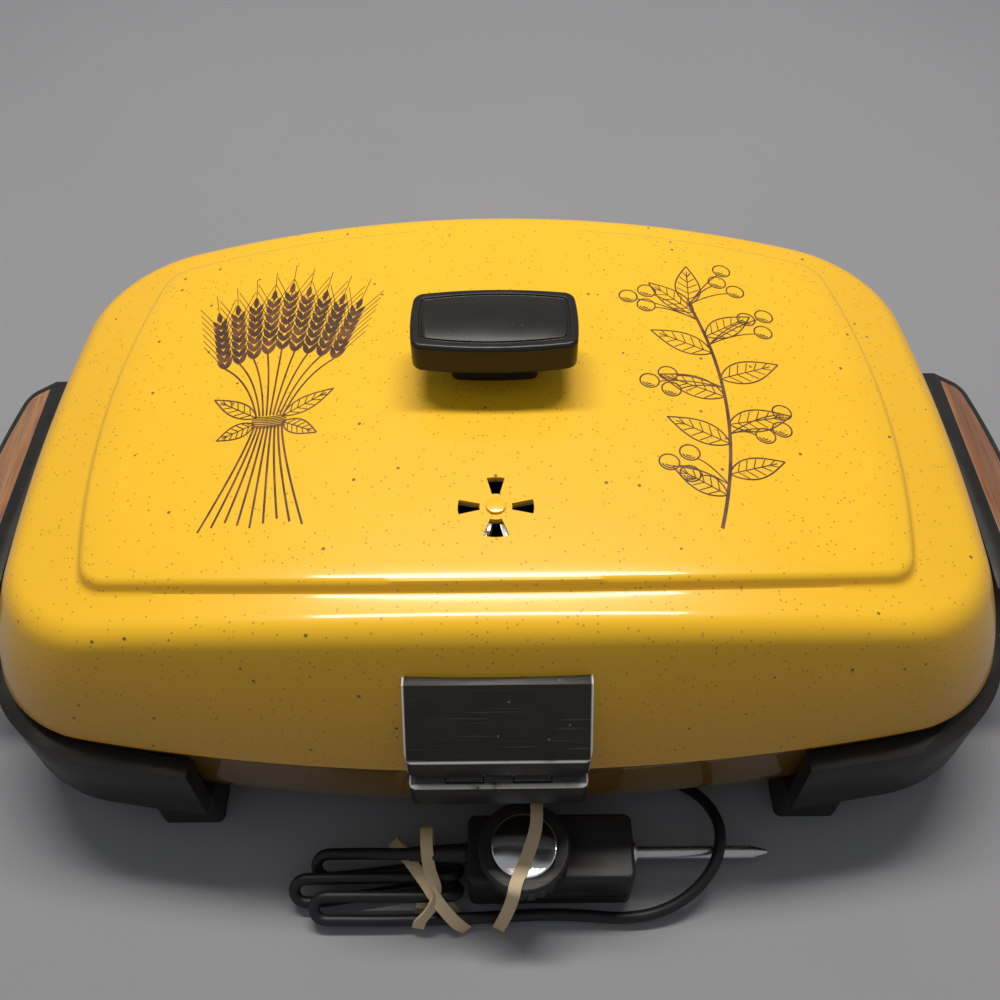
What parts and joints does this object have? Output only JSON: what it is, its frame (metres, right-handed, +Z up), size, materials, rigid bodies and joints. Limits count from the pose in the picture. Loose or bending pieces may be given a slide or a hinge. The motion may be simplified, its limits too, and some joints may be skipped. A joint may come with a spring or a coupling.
{
  "type": "electric skillet",
  "caption": "Rectangular electric skillet with a hinged domed lid, black end handles with feet, and an unplugged probe heat control and bundled cord lying in front.",
  "frame": {"origin": "bottom centre of the skillet's own box, on the surface that its feet stand on, without the loose heat control and cord", "axes": "+Z up, +X towards the right handle, -Y towards the hinge side that the picture shows"},
  "size_m": [0.452, 0.2924, 0.1565],
  "materials": {
    "lid_enamel": "glossy harvest gold enamel with fine dark speckles",
    "pan_enamel": "glossy gold brown enamel",
    "black_phenolic": "black phenolic moulding",
    "wood_grain": "wood grain inlay",
    "bright_steel": "bright steel",
    "aluminium": "plain aluminium",
    "black_plastic": "moulded black plastic",
    "black_rubber": "black flexible cord jacket",
    "tan_rubber": "tan rubber band",
    "brass": "brass contact",
    "ceramic": "glazed ceramic insulator",
    "chrome": "polished chrome"
  },
  "bodies": {
    "base": {"frame_screws": "bright_steel", "heating_element": "bright_steel", "hinge_pin": "bright_steel", "left_end_frame": "black_phenolic", "left_wood_inlay": "wood_grain", "pan_bracket_rivets": "aluminium", "pan_hinge_bracket": "black_phenolic", "pan_shell": "pan_enamel", "right_end_frame": "black_phenolic", "right_wood_inlay": "wood_grain", "sensor_well": "aluminium", "terminal_guard": "aluminium", "terminal_insulators": "ceramic", "terminal_pins": "bright_steel"},
    "lid": {"lid_shell": "lid_enamel", "lid_hinge_bracket": "black_phenolic", "lid_bracket_rivets": "aluminium", "knob": "black_phenolic", "knob_pedestal": "black_phenolic", "knob_screw": "bright_steel", "knob_washer": "bright_steel", "vent_rivet": "lid_enamel"},
    "shutter": {"vent_shutter": "bright_steel"},
    "heat_control": {"control_bottom_shell": "black_plastic", "control_top_shell": "black_plastic", "control_screws": "bright_steel", "probe_rod": "chrome", "probe_collar": "bright_steel", "contact_clips": "brass", "thermostat_frame": "bright_steel", "contact_arm": "brass", "bimetal_strip": "bright_steel", "strain_relief": "black_rubber", "cord_hank": "black_rubber", "cord": "black_rubber", "cord_lead": "black_rubber", "plug_body": "black_rubber", "plug_blades": "brass", "rubber_band_left": "tan_rubber", "rubber_band_right": "tan_rubber"},
    "dial": {"dial_knob": "black_plastic", "dial_cap": "chrome", "dial_shaft": "bright_steel"}
  },
  "joints": [
    {"name": "lid_hinge", "type": "hinge", "parent": "base", "child": "lid", "pos_m": [0, -0.1276, 0.072], "axis": [1, 0, 0], "range_deg": [0, 95]},
    {"name": "vent_turn", "type": "hinge", "parent": "lid", "child": "shutter", "pos_m": [0, -0.0592, 0.129], "axis": [0, 0, 1], "range_deg": [0, 26]},
    {"name": "control_lift_off", "type": "slide", "parent": "base", "child": "heat_control", "axis": [0, -1, 0], "range_m": [0, 0.15]},
    {"name": "dial_turn", "type": "hinge", "parent": "heat_control", "child": "dial", "pos_m": [0.009, -0.1408, 0.03], "axis": [0, 0, 1], "range_deg": [-300, 0]}
  ]
}
